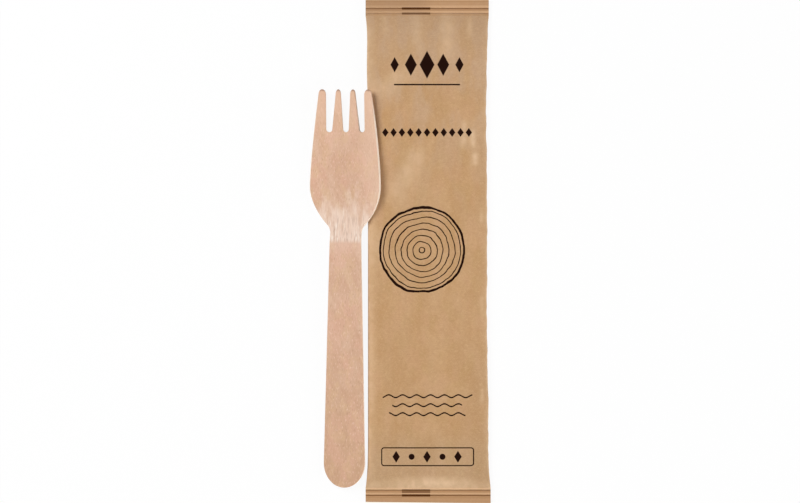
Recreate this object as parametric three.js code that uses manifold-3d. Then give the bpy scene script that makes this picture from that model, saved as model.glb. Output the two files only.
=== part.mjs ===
// A sealed kraft paper cutlery pack, lying on its back, with a wooden fork that leans on its left edge.
// Millimetres, +Z up, +Y along the pack towards the fork's tines. The origin is the middle of the pack's
// underside, in the plane of the surface that both pieces lie on.

import * as THREE from "three";
import { LoftGeometry } from "three/addons/geometries/LoftGeometry.js";
import { mergeVertices } from "three/addons/utils/BufferGeometryUtils.js";
import Module from "manifold-3d";

const { clamp, degToRad, lerp, smoothstep } = THREE.MathUtils;
const wasm = await Module();
wasm.setup();

// Fork outline, as it is cut from the veneer
const FORK_LENGTH = 160;
const TINE_LENGTH = 17.2; // tips to the roots of the slots
const PALM_LENGTH = 21.8; // roots of the slots to the widest place of the bowl
const SHOULDER_LENGTH = 19; // widest place of the bowl to the narrowest place of the neck
const HANDLE_END_WIDTH = 16.5;
const NECK_WIDTH = 12.5;
const SHOULDER_WIDTH = 28.7;
const TIP_WIDTH = 21.5; // across the outer sides of the outer tines
const NECK_FILLET = 3.4; // length of the hollow curve between neck and bowl
const NECK_FLARE = 1.2; // how far that curve leads outwards

// Tines and the slots between them
const TINES = 4;
const TIP_ROUND = 2.1; // length of a tine's rounded tip
const SLOT_MOUTH_WIDTH = 3.85;
const SLOT_ROOT_WIDTH = 2.4;
const SLOT_MOUTH_PITCH = 6;
const SLOT_ROOT_PITCH = 6.75;

// Fork section, as it is pressed
const VENEER = 1.7;
const CREASE_SETBACK = 3.4; // from the neck down to the line where the press begins
const BOWL_DEPTH = 3.2; // below the handle
const TIP_RISE = 1.9; // from the bowl up to the tips
const DISH_RISE = 2.6; // from the middle of the bowl up to its sides

// Paper pack
const PACK_LENGTH = 201;
const BODY_WIDTH = 47.7;
const BODY_HEIGHT = 3.3; // at the side folds
const CROWN = 1.1; // added along the middle
const CONTENT_RISE = 0.9; // added over the bowl of the wrapped fork
const CONTENT_INSET = 66; // from the pack's upper end to that bowl
const CONTENT_REACH = 34; // how far that rise spreads along the pack
const FOLD_REACH = 3.4; // how far the panels curve in towards a side fold
const RAMP_LENGTH = 26; // from a seal to the full height
const RAMP_POWER = 4; // how early along the ramp the height is gained
const BACK_RAMP_LENGTH = 14; // from a seal to where the back lies on the surface
const BACK_RAMP_POWER = 2;

// Crimped seal across each end, where the tube of paper is pressed flat
const SEAL_FLARE = 1.9; // what the flat tube is wider than the body
const SEAL_THICKNESS = 0.5;
const SEAL_LIFT = 0.5; // from the surface to the seal's lowest crimp
const SEAL_MARGIN = 0.45; // plain paper between the last crimp line and the body
const CRIMP_INSET_UPPER = 3; // from the upper end to its first crimp line
const CRIMP_INSET_LOWER = 2.4; // from the lower end to its first crimp line
const CRIMP_PITCH = 2;
const CRIMP_LINES = 2;
const CRIMP_WIDTH = 0.9;
const CRIMP_DEPTH = 0.28;
const CRIMP_DEPTH_ON_FIN = 0.42;

// Fin seal, folded flat along the back
const FIN_WIDTH = 11.4;
const FIN_ROOT = 1.3; // from the pack's middle line to the fold of the fin
const FIN_THICKNESS = 0.35;
const FIN_EDGE = 0.15; // run of the step down to the panel
const SAG_REACH = 9; // from the fin to where the panel beside it lies on the surface

// Gathers that fan out of the seals
const GATHER_PITCH = 8.2;
const GATHER_DEPTH = 0.22;

// How the fork lies beside the pack
const FORK_OVERLAP = 5.1; // reach of the head over the pack's side fold
const FORK_TIP_INSET = 35.3; // from the pack's upper end down to the tine tips
const FORK_YAW = degToRad(-0.15);
const SEAT_CLEARANCE = 0.3; // between fork and paper

// Facets
const CURVE_STEPS = 10;
const ARC_STEPS = 12;
const HEAD_ROWS = 30;
const SHEET_COLUMNS = 14;
const FOLD_COLUMNS = 6;
const PANEL_COLUMN = 4; // width of a panel column
const RAMP_ROWS = 9;
const BODY_ROWS = 16;
const CUT_MARGIN = 2; // what the cut fork blank spares around it

// Places along the fork, from the end of its handle
const bowlAt = FORK_LENGTH - TINE_LENGTH - PALM_LENGTH;
const neckAt = bowlAt - SHOULDER_LENGTH;
const creaseAt = neckAt - CREASE_SETBACK;
const tipAt = FORK_LENGTH - TIP_ROUND;

const sealHeight = SEAL_LIFT + CRIMP_DEPTH_ON_FIN + FIN_THICKNESS + SEAL_THICKNESS / 2;

function solidFrom(geometry) {
  const bare = new THREE.BufferGeometry().setAttribute("position", geometry.getAttribute("position"));
  const merged = mergeVertices(bare.setIndex(geometry.index));
  return new wasm.Manifold(
    new wasm.Mesh({
      numProp: 3,
      vertProperties: merged.getAttribute("position").array,
      triVerts: new Uint32Array(merged.index.array),
    }),
  );
}

function geometryFrom(solid) {
  const { vertProperties, triVerts } = solid.getMesh();
  return new THREE.BufferGeometry()
    .setAttribute("position", new THREE.BufferAttribute(vertProperties, 3))
    .setIndex(new THREE.BufferAttribute(triVerts, 1));
}

function mirrored(points) {
  return points.map((point) => new THREE.Vector2(-point.x, point.y)).reverse();
}

// Right side of the head, from the neck up to the foot of the outer tine's round tip
function headSide() {
  const neck = NECK_WIDTH / 2;
  const shoulder = SHOULDER_WIDTH / 2;
  const flareAt = neckAt + NECK_FILLET;
  const bowlCurve = bowlAt - flareAt;
  const side = new THREE.Path();
  side.moveTo(neck, neckAt);
  side.quadraticCurveTo(neck, lerp(neckAt, flareAt, 0.6), neck + NECK_FLARE, flareAt);
  side.bezierCurveTo(
    lerp(neck + NECK_FLARE, shoulder, 0.56), flareAt + 0.26 * bowlCurve,
    shoulder, flareAt + 0.63 * bowlCurve,
    shoulder, bowlAt,
  );
  side.bezierCurveTo(
    shoulder, lerp(bowlAt, tipAt, 0.19),
    lerp(shoulder, TIP_WIDTH / 2, 0.46), lerp(bowlAt, tipAt, 0.63),
    TIP_WIDTH / 2, tipAt,
  );
  return side.getPoints(CURVE_STEPS);
}

// Round tips and the slots between them, from the right outer tine to the left one
function tineEdge() {
  const edge = new THREE.Path();
  const rootRadius = SLOT_ROOT_WIDTH / 2;
  const rootAt = FORK_LENGTH - TINE_LENGTH + rootRadius;
  let outer = TIP_WIDTH / 2;
  for (let slot = TINES - 1; slot >= 0; slot--) {
    const place = slot - TINES / 2;
    const inner = slot ? place * SLOT_MOUTH_PITCH + SLOT_MOUTH_WIDTH / 2 : -TIP_WIDTH / 2;
    edge.absellipse((outer + inner) / 2, tipAt, (outer - inner) / 2, TIP_ROUND, 0, Math.PI, false, 0);
    if (slot) edge.absarc(place * SLOT_ROOT_PITCH, rootAt, rootRadius, 0, Math.PI, true);
    outer = inner - SLOT_MOUTH_WIDTH;
  }
  return edge.getPoints(ARC_STEPS);
}

function forkOutline() {
  const endRadius = HANDLE_END_WIDTH / 2;
  const end = new THREE.Path().absarc(0, endRadius, endRadius, Math.PI, 2 * Math.PI, false);
  const right = headSide();
  return new THREE.Shape([...end.getPoints(2 * ARC_STEPS), ...right, ...tineEdge(), ...mirrored(right)]);
}

// Height of the pressed veneer's middle above the flat handle
function pressHeight(x, y) {
  if (y <= creaseAt) return 0;
  const slope = (bowlAt - y) / (bowlAt - creaseAt);
  const lift = (y - bowlAt) / (FORK_LENGTH - bowlAt);
  const along = y < bowlAt ? -BOWL_DEPTH * (1 - slope ** 2) : -BOWL_DEPTH + TIP_RISE * lift ** 2;
  const across = DISH_RISE * (x / (SHOULDER_WIDTH / 2)) ** 2;
  return along + across * smoothstep(y, creaseAt, bowlAt);
}

// The veneer after pressing and before the outline is cut: flat along the handle, dished at the head
function pressedVeneer() {
  const rows = [-CUT_MARGIN];
  for (let row = 0; row <= HEAD_ROWS; row++) {
    rows.push(lerp(creaseAt, FORK_LENGTH + CUT_MARGIN, row / HEAD_ROWS));
  }
  const reach = SHOULDER_WIDTH / 2 + CUT_MARGIN;
  const columns = Array.from({ length: SHEET_COLUMNS + 1 }, (_, k) => lerp(-reach, reach, k / SHEET_COLUMNS));
  const face = (y, offset) => columns.map((x) => new THREE.Vector3(x, y, pressHeight(x, y) + offset));
  const sections = rows.map((y) => [...face(y, VENEER / 2), ...face(y, -VENEER / 2).reverse()]);
  return new LoftGeometry(sections, { capStart: true, capEnd: true });
}

// Fork in its own frame: origin at the widest place of the bowl, at the level of the handle's middle
function forkGeometry() {
  const depth = 4 * (VENEER + BOWL_DEPTH + TIP_RISE + DISH_RISE);
  const cutter = new THREE.ExtrudeGeometry(forkOutline(), { depth, bevelEnabled: false });
  cutter.translate(0, 0, -depth / 2);
  const fork = solidFrom(pressedVeneer()).intersect(solidFrom(cutter));
  return geometryFrom(fork).translate(0, -bowlAt, 0);
}

function crimpInset(y) {
  return y > 0 ? CRIMP_INSET_UPPER : CRIMP_INSET_LOWER;
}

function sealLength(y) {
  return crimpInset(y) + (CRIMP_LINES - 1) * CRIMP_PITCH + CRIMP_WIDTH / 2 + SEAL_MARGIN;
}

// Share of its way from the seal to the body that a panel has gone at a place along the pack
function rampShare(y, length, power) {
  const fromSeal = PACK_LENGTH / 2 - Math.abs(y) - sealLength(y);
  return 1 - (1 - clamp(fromSeal / length, 0, 1)) ** power;
}

function packFill(y) {
  return rampShare(y, RAMP_LENGTH, RAMP_POWER);
}

function packHalfWidth(y) {
  return lerp(BODY_WIDTH + SEAL_FLARE, BODY_WIDTH, packFill(y)) / 2;
}

function onFin(x) {
  return x >= FIN_ROOT - FIN_WIDTH && x <= FIN_ROOT;
}

// How far the crimp lines press the seal down; they bite deeper where the fin lies behind it
function crimp(x, y) {
  const fromEnd = PACK_LENGTH / 2 - Math.abs(y);
  let share = 0;
  for (let line = 0; line < CRIMP_LINES; line++) {
    const fromLine = Math.abs(fromEnd - crimpInset(y) - line * CRIMP_PITCH);
    share += Math.max(0, 1 - fromLine / (CRIMP_WIDTH / 2));
  }
  return share * (onFin(x) ? CRIMP_DEPTH_ON_FIN : CRIMP_DEPTH);
}

// Soft flutes in the front panel, which start at the seals and fade out along the body
function gather(x, y) {
  const fill = packFill(y);
  return GATHER_DEPTH * Math.cos((2 * Math.PI * x) / GATHER_PITCH) * 4 * fill * (1 - fill);
}

function roundedIn(x, y) {
  const fromFold = clamp((packHalfWidth(y) - Math.abs(x)) / FOLD_REACH, 0, 1);
  return Math.sqrt(1 - (1 - fromFold) ** 2);
}

function foldHeight(y) {
  return lerp(sealHeight, FIN_THICKNESS + BODY_HEIGHT / 2, packFill(y));
}

// Height of the front panel above the surface
function packFront(x, y) {
  const fill = packFill(y);
  const fromContent = (y - (PACK_LENGTH / 2 - CONTENT_INSET)) / CONTENT_REACH;
  const crown = CROWN + CONTENT_RISE * Math.exp(-(fromContent ** 2));
  const middle = 1 - (x / packHalfWidth(y)) ** 2;
  const seal = sealHeight + SEAL_THICKNESS / 2;
  const flat = lerp(seal, FIN_THICKNESS + BODY_HEIGHT + crown * middle, fill) + gather(x, y);
  return lerp(foldHeight(y), flat, roundedIn(x, y)) - crimp(x, y);
}

// Height of the back panel, which sags onto the surface beside the fin, or of the fin folded under it
function packBack(x, y) {
  const besideFin = Math.max(FIN_ROOT - FIN_WIDTH - x, x - FIN_ROOT, 0);
  const body = FIN_THICKNESS * Math.max(0, 1 - besideFin / SAG_REACH);
  const seal = sealHeight - SEAL_THICKNESS / 2;
  const flat = lerp(seal, body, rampShare(y, BACK_RAMP_LENGTH, BACK_RAMP_POWER));
  const panel = lerp(foldHeight(y), flat, roundedIn(x, y)) - crimp(x, y);
  return onFin(x) ? panel - FIN_THICKNESS : panel;
}

function spread(from, to) {
  const count = Math.max(1, Math.round((to - from) / PANEL_COLUMN));
  return Array.from({ length: count + 1 }, (_, k) => lerp(from, to, k / count));
}

// Places across the pack: close together at the side folds, in pairs at the two edges of the fin
function packColumns(y) {
  const halfWidth = packHalfWidth(y);
  const fold = Array.from({ length: FOLD_COLUMNS }, (_, k) => FOLD_REACH * (k / FOLD_COLUMNS) ** 2);
  const panel = BODY_WIDTH / 2 - FOLD_REACH;
  const finFree = FIN_ROOT - FIN_WIDTH;
  return [
    ...fold.map((step) => step - halfWidth),
    ...spread(-panel, finFree - FIN_EDGE),
    ...spread(finFree, FIN_ROOT),
    ...spread(FIN_ROOT + FIN_EDGE, panel),
    ...fold.map((step) => halfWidth - step).reverse(),
  ];
}

// Places along the seal and the ramp at one end of the pack, from that end inwards
function endRows(end) {
  const rows = [0];
  for (let line = 0; line < CRIMP_LINES; line++) {
    const place = crimpInset(end) + line * CRIMP_PITCH;
    rows.push(place - CRIMP_WIDTH / 2, place, place + CRIMP_WIDTH / 2);
  }
  for (let row = 0; row <= RAMP_ROWS; row++) {
    rows.push(sealLength(end) + RAMP_LENGTH * (row / RAMP_ROWS) ** 1.5);
  }
  return rows.map((fromEnd) => end - Math.sign(end) * fromEnd);
}

function packGeometry() {
  const lower = endRows(-PACK_LENGTH / 2);
  const upper = endRows(PACK_LENGTH / 2).reverse();
  const bodyRow = (_, k) => lerp(lower.at(-1), upper[0], (k + 1) / BODY_ROWS);
  const body = Array.from({ length: BODY_ROWS - 1 }, bodyRow);
  const sections = [...lower, ...body, ...upper].map((y) => {
    const columns = packColumns(y);
    const front = columns.map((x) => new THREE.Vector3(x, y, packFront(x, y)));
    const back = columns.slice(1, -1).map((x) => new THREE.Vector3(x, y, packBack(x, y)));
    return [...front, ...back.reverse()];
  });
  return new LoftGeometry(sections, { capStart: true, capEnd: true });
}

// Where a rising function crosses zero
function crossing(rising, low, high) {
  for (let halving = 0; halving < 40; halving++) {
    const middle = (low + high) / 2;
    if (rising(middle) < 0) low = middle;
    else high = middle;
  }
  return (low + high) / 2;
}

function pointsOf(geometry) {
  const position = geometry.getAttribute("position");
  const pointAt = (_, k) => new THREE.Vector3().fromBufferAttribute(position, k);
  return Array.from({ length: position.count }, pointAt);
}

// Lays the fork down: its handle and its head touch the surface on the left, its right edge the pack
function layFork(fork) {
  const points = pointsOf(fork.geometry);
  const head = points.filter((point) => point.y > creaseAt - bowlAt);
  const handle = points.filter((point) => point.y <= creaseAt - bowlAt);
  const moved = (group) => group.map((point) => point.clone().applyMatrix4(fork.matrix));
  const lowest = (group) => Math.min(...moved(group).map((point) => point.z));
  const pose = (roll, pitch) => {
    fork.rotation.set(pitch, -roll, FORK_YAW, "ZXY");
    fork.position.z = 0;
    fork.updateMatrix();
  };
  const settle = (roll) => {
    const limit = degToRad(15);
    const level = (pitch) => {
      pose(roll, pitch);
      return lowest(head) - lowest(handle);
    };
    pose(roll, crossing(level, -limit, limit));
    fork.position.z = -lowest(points);
    fork.updateMatrix();
  };
  const clearance = (roll) => {
    settle(roll);
    const over = moved(points).filter((point) => Math.abs(point.x) < packHalfWidth(point.y));
    return Math.min(...over.map((point) => point.z - packFront(point.x, point.y))) - SEAT_CLEARANCE;
  };
  fork.position.x = FORK_OVERLAP - BODY_WIDTH / 2 - SHOULDER_WIDTH / 2;
  fork.position.y = PACK_LENGTH / 2 - FORK_TIP_INSET - (FORK_LENGTH - bowlAt);
  settle(crossing(clearance, 0, degToRad(30)));
}

const birch = new THREE.MeshStandardMaterial({ color: 0xdcb495, roughness: 0.62, metalness: 0 });
const kraft = new THREE.MeshStandardMaterial({ color: 0xc49c70, roughness: 0.7, metalness: 0 });

const paperPack = new THREE.Mesh(packGeometry(), kraft);
paperPack.name = "paper_pack";

const fork = new THREE.Mesh(forkGeometry(), birch);
fork.name = "fork";
layFork(fork);

const cutleryPack = new THREE.Group();
cutleryPack.add(paperPack, fork);

export default cutleryPack;
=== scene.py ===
"""Dresses the wooden cutlery pack: a pressed birch fork that leans on a printed kraft paper wrap.

Pieces are modelled in millimetres, in the frame of the CAD model, and turned into metres when they are done.
"""
import math

import bpy
from mathutils import Matrix, Vector, noise


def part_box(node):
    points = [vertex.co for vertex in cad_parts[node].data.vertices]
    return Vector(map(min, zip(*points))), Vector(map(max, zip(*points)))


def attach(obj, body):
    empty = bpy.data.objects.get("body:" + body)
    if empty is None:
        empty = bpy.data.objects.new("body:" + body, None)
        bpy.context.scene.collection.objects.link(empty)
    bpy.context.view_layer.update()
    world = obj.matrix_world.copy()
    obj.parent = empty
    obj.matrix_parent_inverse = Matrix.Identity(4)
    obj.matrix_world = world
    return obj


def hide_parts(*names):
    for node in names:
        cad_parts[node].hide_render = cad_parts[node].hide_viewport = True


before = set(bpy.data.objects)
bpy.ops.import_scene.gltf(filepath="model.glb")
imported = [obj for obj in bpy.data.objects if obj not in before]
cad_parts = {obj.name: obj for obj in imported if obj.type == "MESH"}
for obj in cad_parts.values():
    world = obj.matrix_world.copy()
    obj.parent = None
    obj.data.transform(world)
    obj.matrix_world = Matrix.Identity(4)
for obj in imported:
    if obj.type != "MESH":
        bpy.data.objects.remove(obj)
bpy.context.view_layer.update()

MM = 0.001
SMOOTH_ANGLE = math.radians(40)

# Fork outline, with y from the end of the handle
FORK_LENGTH = 160
TINE_LENGTH = 17.2
PALM_LENGTH = 21.8
SHOULDER_LENGTH = 19
HANDLE_END_WIDTH = 16.75
HANDLE_END_ROUND = 10
NECK_WIDTH = 12.65
SHOULDER_WIDTH = 28.7
TIP_WIDTH = 21.75
NECK_FILLET = 3.4
NECK_FLARE = 1.2
TIP_ROUND = 2.1
SLOT_MOUTH_WIDTH = 3.85
SLOT_ROOT_WIDTH = 2.4
SLOT_MOUTH_PITCH = 6
SLOT_ROOT_PITCH = 6.75
CREASE_SETBACK = 3.4

HANDLE_MIDDLE = FORK_LENGTH / 2
TINES_AT = FORK_LENGTH - TINE_LENGTH
BOWL_AT = TINES_AT - PALM_LENGTH
NECK_AT = BOWL_AT - SHOULDER_LENGTH
CREASE_AT = NECK_AT - CREASE_SETBACK
TIP_AT = FORK_LENGTH - TIP_ROUND

# Curves of the outline: where the neck's handles meet and how far they reach there, and both handles of the
# shoulder and of the palm, as shares of the way that the curve goes across and along
NECK_CORNER = 0.6
NECK_REACH = 2 / 3
SHOULDER_HANDLES = ((0.56, 0.26), (1, 0.63))
PALM_HANDLES = ((0, 0.19), (0.46, 0.63))

# Fork section and press, with the share of the veneer's lower half that is left at the tips
VENEER = 1.7
EDGE_ROUND = 0.3
TIP_UNDERSIDE = 0.2
BOWL_DEPTH = 3.2
TIP_RISE = 1.9
DISH_RISE = 2.6

# Where the fork lies: its turn, how far it lies beside the CAD fork, and its handle beside its head
FORK_YAW = math.radians(-0.26)
FORK_ASIDE = 0.13
FORK_DROP = 0.3
HANDLE_ASIDE = 0.45

# How finely the outline is drawn, and its blank is cleaned and sliced before it is pressed
OUTLINE_STEPS = 12
EDGE_STEPS = 3
MERGE_DISTANCE = 0.001
FLAT_ANGLE = math.radians(0.5)
HEAD_ROW = 0.7
HANDLE_ROW = 2.5
FORK_COLUMN = 0.8
SLOPE_STEP = 0.02

# Paper pack: body, seals and fin
PACK_LENGTH = (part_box("paper_pack")[1].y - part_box("paper_pack")[0].y) / MM
SEAL_WIDTH = (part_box("paper_pack")[1].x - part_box("paper_pack")[0].x) / MM
BODY_WIDTH = 47.7
BODY_HEIGHT = 3.3
CROWN = 1.1
CONTENT_RISE = 0.9
CONTENT_INSET = 66
CONTENT_REACH = 34
FOLD_REACH = 3.4
RAMP_LENGTH = 26
RAMP_POWER = 4
BACK_RAMP_LENGTH = 14
BACK_RAMP_POWER = 2
SEAL_HEIGHT = 1.52
SEAL_THICKNESS = 0.5
SEAL_MARGIN = 0.9
CRIMP_INSET_UPPER, CRIMP_INSET_LOWER = 3, 2.4
CRIMP_PITCH = 2
CRIMP_WIDTH = 0.7
CRIMP_DEPTH = 0.28
CRIMP_DEPTH_ON_FIN = 0.42
FIN_LEFT, FIN_RIGHT = -10.1, 1.3
FIN_THICKNESS = 0.35
FIN_STEP = 0.1
FIN_RIBS = 4
FIN_RIB_DEPTH = 0.09
SAG_REACH = 9
PAPER = 0.12

# Rows and columns of the pack's mesh, and how far the columns crowd towards the folds
FINE_END = 6.6
SEAL_ROW = 0.12
RAMP_ROW = 0.5
BODY_ROW = 0.7
PACK_COLUMNS = 84
COLUMN_CROWDING = 0.6

# Slack of the pack: its bulge over the lower seal, its cut ends and the wider lower end of its right edge
PUFF_RISE = 0.9
PUFF_REACH_MIDDLE, PUFF_REACH_SIDE = 4.2, 2.1
END_SLANT = 0.28
END_DROP = 0.6
END_RISE = 0.5
LOWER_SPREAD = 0.5
LOWER_SPREAD_FROM, LOWER_SPREAD_TO = -36, -70

# How far the folds lie outside their neat lines: all along, at a bulge or waist beside the fork, its place
LEFT_FOLD = (-0.13, 0.45, 74)
RIGHT_FOLD = (0.26, -0.4, 53.5)
BULGE_REACH = 12

# Shares of the half width from which the panels follow their folds, and from which the right one flutters
GIVE_FROM = 0.5
FLUTTER_FROM = 0.8

# Soft waves of the paper: width, length, height, seed
PANEL_WAVE = (26, 60, 0.2, 3.7)
PANEL_RIPPLE = (7, 11, 0.05, 8.1)
SEAL_GATHER = (5, 40, 0.6, 1.3)
EDGE_WAVE = (1, 7, 0.3, 5.2)
EDGE_FLUTTER = (1, 2.6, 0.18, 2.4)

# Lean of the panel's waves, share of the gathers at the lower seal, and the calm under the fork and its end
PANEL_WAVE_LEAN = 0.8
LOWER_GATHER_SHARE = 0.3
CALM_UNDER_FORK = 0.25
CALM_FROM, CALM_TO = -20, -8

# Creases of the front panel, and the dent under the fork: x, y, direction in degrees, length, width, height
CREASES = (
    (-4, 88, 91, 17, 2.8, 0.13),
    (8, 87, 90, 20, 3, 0.2),
    (2.4, 91, 88, 9, 1.3, -0.15),
    (17, 90, 84, 9, 1.3, 0.14),
    (-17, 91, 97, 8, 1.3, 0.12),
    (2, -93.5, 0, 30, 2.6, 0.2),
    (-19.6, 2, 88, 14, 2, 0.12),
    (14.9, 47, 86, 11, 1.5, 0.24),
    (18.3, 45.5, 93, 7, 1.1, 0.42),
    (19.2, 37, 90, 5, 1.2, 0.34),
    (-14, 68, 38, 20, 3.6, 0.2),
    (-9, 30, 58, 28, 4.2, 0.22),
    (12, 20, 52, 24, 4.5, -0.16),
    (21.6, 14, 88, 6, 0.8, 0.16),
    (21.8, -22, 93, 8, 0.9, 0.14),
    (21.5, -58, 87, 7, 0.9, 0.14),
)
SHOULDER_DENT = (-17, 22, 84, 46, 4.5, -1.3)

# Rub of the paper and painted highlights on it, one pale tint: on its folds, from a share of the half width
# on and how strong; the height of a crease that is rubbed and highlighted fully; and a painted highlight at
# the bend above the lower seal, by the distance from the seal
LEFT_RUB_AND_HIGHLIGHT = ((0.8, 1), (0.96, 0.5))
RIGHT_RUB_AND_HIGHLIGHT = ((0.88, 0.3), (0.96, 1))
FULLY_RUBBED_AND_HIGHLIGHTED_CREASE = 0.25
BEND_HIGHLIGHT = 1.1
BEND_HIGHLIGHT_START = (-0.6, -0.2)
BEND_HIGHLIGHT_REACH_MIDDLE, BEND_HIGHLIGHT_REACH_SIDE = 5.46, 2.94

# Print on the front panel, with places from the middle of the pack
INK = (28, 9, 3)
INK_BLUR = 0.06
EMBLEM_Y = 74.8
EMBLEM_PITCH = 6.5
EMBLEM_SHARES = (0.55, 0.8, 1, 0.8, 0.55)
EMBLEM_LOZENGE = (3, 5.6)
RULE_DROP = 8
RULE_LINE = 0.6
BORDER_Y = 47.6
BORDER_LOZENGES = 11
BORDER_PITCH = 3.36
BORDER_LOZENGE = (1.3, 1.8)
RINGS_MIDDLE = (-2, 0.5)
RINGS_RADIUS = 17
RING_PITCH = 2.4
RING_LINE = 0.42
BARK_LINE = 0.9
RING_WOBBLE = 3.2
RING_WOBBLE_SIZE = 12
RING_WOBBLE_SEED = 31
WAVES_Y = (-58.3, -61.9, -65.5)
WAVES_HALF_LENGTH = (17.9, 14, 15.3)
WAVE_LENGTH = 5.6
WAVE_HEIGHT = 0.55
WAVE_LINE = 0.6
PANEL_Y = -82.6
PANEL_SIZE = (37, 7.6)
PANEL_CORNER = 1.2
PANEL_LINE = 0.46
PANEL_PITCH = 6.2
PANEL_SIDE_MARKS = 2
PANEL_DOT = 1.2
PANEL_LOZENGE = (1.5, 2.4)

# Marks beside each crimp line of the seals, by their reach along the pack from the line
# The lip carries a painted highlight, the strip painted shade, the line painted shade in its groove
LIP = (0.25, 1)
LINE = (-0.26, 0.16)
STRIP = (-1, -0.25)
BAR = (-0.5, 0.35)
WIDE_BAR = (-1.2, 0.35)

# Strength of the bars and lines at the outer and the inner crimp line
BAR_SHARES = (1, 0.7)
UPPER_LINE_SHARES = (0.75, 0.36)
LOWER_LINE_SHARES = (1, 0.7)

# Marks at the upper cut, by their reach from it: a painted highlight on its lip, painted shade on the strip
CUT_LIP = 0.4
CUT_STRIP = 0.85

# Fibres: width, length, turn, seed, from and to a noise value, and for those that tint, strength and colour
BIRCH_MOTTLING = (5, 9, 0, 0, 0.35, 0.65)
BIRCH_FINE_GRAIN = (0.35, 5, 0, 9, 0.3, 0.7)
BIRCH_FIBRES = (
    (7, 15, 0, 3, 0.42, 0.62, 0.5, (225, 178, 154)),
    (3.5, 6, 0, 27, 0.48, 0.62, 0.4, (219, 184, 145)),
    (1.8, 14, -0.45, 6, 0.48, 0.66, 0.25, (203, 158, 131)),
    (*BIRCH_FINE_GRAIN, 0.12, (196, 152, 124)),
    (0.32, 1.6, 0, 12, 0.55, 0.7, 0.6, (186, 141, 114)),
    (0.34, 1.4, 0, 15, 0.55, 0.7, 0.5, (240, 212, 189)),
)
NECK_RAGGED = (2.6, 8, 0, 24, 0.3, 0.7)
NECK_LINES = (
    (0.4, 5, 0, 18, 0.52, 0.68, 0.8, (182, 141, 116)),
    (0.4, 6, 0, 21, 0.55, 0.7, 0.95, (255, 243, 232)),
)
KRAFT_MOTTLING = (8, 15, 0, 0, 0.38, 0.62)
KRAFT_PATCHES = (
    (6, 10, 0, 22, 0.5, 0.62, 0.4, (190, 153, 106)),
    (7, 12, 0, 25, 0.5, 0.62, 0.35, (202, 158, 122)),
)
# Painted sheen: pale greyish patches, a painted reflection of the lamps, most towards the upper end
KRAFT_SHEEN_PATCHES = ((6, 17, 0, 2, 0.4, 0.6, 0.6, (196, 165, 138)),)
DARK_FIBRE = (0.5, 0.7, 0.2, (174, 133, 92))
PALE_FIBRE = (0.5, 0.7, 0.22, (217, 181, 142))
KRAFT_FIBRES = (
    (1.9, 2.4, 0, 3, 0.4, 0.65, 0.16, (182, 142, 101)),
    (0.4, 2.4, 0.7, 6, *DARK_FIBRE),
    (0.4, 2, 0.7, 7, *PALE_FIBRE),
    (0.4, 2.4, -0.5, 8, *DARK_FIBRE),
    (0.4, 2, -0.5, 9, *PALE_FIBRE),
    (0.4, 2.4, 1.6, 10, *DARK_FIBRE),
    (0.4, 2, 1.6, 11, *PALE_FIBRE),
    (0.5, 0.6, 0, 13, 0.65, 0.77, 0.5, (152, 112, 75)),
)
# Patches of the rubbed paper and of its painted highlights
KRAFT_WEAR_AND_HIGHLIGHT = (4, 5, 0, 16, 0.3, 0.7)
KRAFT_TOOTH = (0.8, 1, 0, 20, 0.2, 0.8)

# Tints of the birch: the two tones of its mottling, then strength and colour
BIRCH_TONES = ((212, 171, 144), (221, 185, 159))
HANDLE_TINT = (0.9, (202, 162, 130))
# Painted highlight: the tines are painted lighter, as if more light fell on them where they rise
TINES_HIGHLIGHT_TINT = (0.5, (232, 194, 167))
# Painted highlight: the right side of the head is painted lighter, as if more light fell on it
RIGHT_SIDE_HIGHLIGHT_TINT = (0.35, (242, 206, 180))
BELOW_CREASE_TINT = (0.3, (236, 206, 186))
# The pale neck is partly pressed wood and partly a painted sheen
NECK_TINT_AND_SHEEN = (0.85, (242, 217, 199))
# The pale rim is paler end grain with a painted highlight on it
RIM_TINT_AND_HIGHLIGHT = (1.0, (255, 240, 222))
# The tines are darker at their very tips
TIP_END_TINT = (0.75, (142, 106, 88))

# Where tints of the birch begin and where they are full, along the fork, across it or in the veneer's depth
# Reach of the painted highlight on the tines
TINES_HIGHLIGHT_REACH = (BOWL_AT + 8, FORK_LENGTH)
RIGHT_SIDE_HIGHLIGHT_REACH = (2, 13)
BELOW_CREASE_REACH = (CREASE_AT - 7, CREASE_AT - 1)
NECK_START = (CREASE_AT - 0.8, CREASE_AT + 1.2)
NECK_END = (BOWL_AT + 6, NECK_AT + 6)
NECK_END_RAGGED = 14
NECK_END_SLANT = 0.15
NECK_LINES_END = (NECK_AT + 10, NECK_AT)
NECK_LINES_LEAST = 0.25
RIM_DEPTH = (VENEER / 2 - EDGE_ROUND / 3, VENEER / 2 - EDGE_ROUND)
RIM_END = (FORK_LENGTH, FORK_LENGTH - 12)
RIM_LEAST = 0.1
TIP_END_REACH = (FORK_LENGTH - 1.1, FORK_LENGTH)

# Tints of the kraft paper: the two tones of its mottling, then strength and colour
KRAFT_TONES = ((191, 150, 106), (199, 159, 117))
UPPER_END_TINT = (0.5, (190, 157, 126))
LOWER_END_TINT = (0.3, (168, 147, 122))
# Painted shade at both ends of the right side
RIGHT_ENDS_SHADE_TINT = (0.24, (170, 136, 102))
# The wear tint is partly rubbed paper and partly painted highlight on folds, creases and the lower bend
WEAR_AND_HIGHLIGHT_TINT = (0.6, (225, 192, 156))
SEAL_TINT = (0.6, (185, 140, 102))
UPPER_LEFT_TINT = (0.3, (150, 118, 90))
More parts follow.
